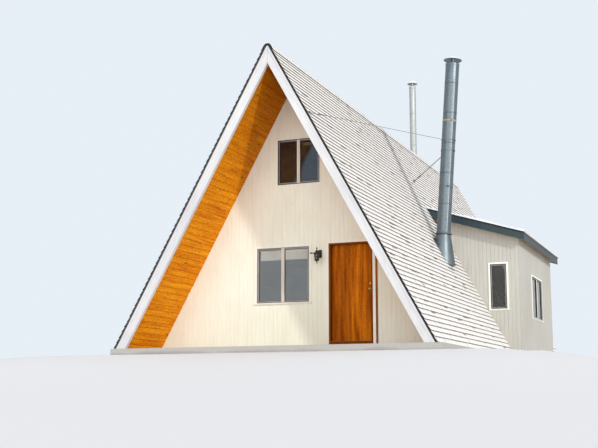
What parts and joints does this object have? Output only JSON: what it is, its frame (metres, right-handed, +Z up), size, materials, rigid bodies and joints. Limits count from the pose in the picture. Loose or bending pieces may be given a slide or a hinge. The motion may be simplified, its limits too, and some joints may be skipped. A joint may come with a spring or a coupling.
{
  "type": "a-frame cabin",
  "caption": "Cabin with steep roof slopes down to the foundation, grooved gable walls, hinged front door, side bay, flues and wall lantern.",
  "frame": {"origin": "middle of the foundation slab's underside, under the ridge", "axes": "+X to the right along the front gable seen from outside, +Y from the front gable to the rear, +Z up"},
  "size_m": [7.459, 15.868, 8.9634],
  "materials": {
    "concrete": "cast concrete, matt",
    "floor_timber": "planed boards, satin",
    "siding": "grooved plywood siding, cream paint",
    "roof_timber": "sawn timber and sheathing",
    "ceiling_boards": "tongue and groove boards, clear stain",
    "shingles": "weathered shingles under thin snow",
    "dark_metal": "dark painted sheet",
    "white_paint": "white painted board",
    "green_paint": "dark green painted board",
    "door_timber": "stained timber, satin varnish",
    "brass_hardware": "worn satin",
    "window_frame": "tan extruded frame",
    "window_glass": "clear",
    "galvanised": "galvanised, dull",
    "lantern_iron": "black enamel",
    "lantern_glass": "clear"
  },
  "bodies": {
    "house": {"bay_fascia": "green_paint", "bay_front_wall": "siding", "bay_rear_wall": "siding", "bay_roof_panel": "roof_timber", "bay_shingles": "shingles", "bay_side_wall": "siding", "bay_windows": "window_frame", "ceiling_boards_left": "ceiling_boards", "ceiling_boards_right_front": "ceiling_boards", "ceiling_boards_right_rear": "ceiling_boards", "ceiling_boards_right_upper": "ceiling_boards", "door_casing": "white_paint", "door_frame": "door_timber", "door_hinges": "brass_hardware", "floor_deck": "floor_timber", "flue_cable": "galvanised", "flue_caps": "galvanised", "flue_collars": "galvanised", "flue_flashings": "galvanised", "flue_rod": "galvanised", "foundation_slab": "concrete", "front_rake_boards": "white_paint", "front_wall_gable": "siding", "front_wall_left": "siding", "front_wall_right": "siding", "lantern_glass": "lantern_glass", "loft_floor": "floor_timber", "lower_window": "window_frame", "near_flue": "galvanised", "rake_drip_edges": "dark_metal", "rear_flue": "galvanised", "rear_rake_boards": "white_paint", "rear_wall_gable": "siding", "rear_wall_lower": "siding", "rear_windows": "window_frame", "ridge_cap": "dark_metal", "roof_panel_left": "roof_timber", "roof_panel_right_front": "roof_timber", "roof_panel_right_rear": "roof_timber", "roof_panel_right_upper": "roof_timber", "shingles_left": "shingles", "shingles_right_front": "shingles", "shingles_right_rear": "shingles", "shingles_right_upper": "shingles", "upper_window": "window_frame", "wall_lantern": "lantern_iron", "window_glass": "window_glass"},
    "door": {"front_door": "door_timber", "door_knobs": "brass_hardware", "hinge_leaves": "brass_hardware"}
  },
  "joints": [
    {"name": "front_door_hinge", "type": "hinge", "parent": "house", "child": "door", "pos_m": [0.79615, -6.255, 1.3], "axis": [0, 0, 1], "range_deg": [0, 95]}
  ]
}
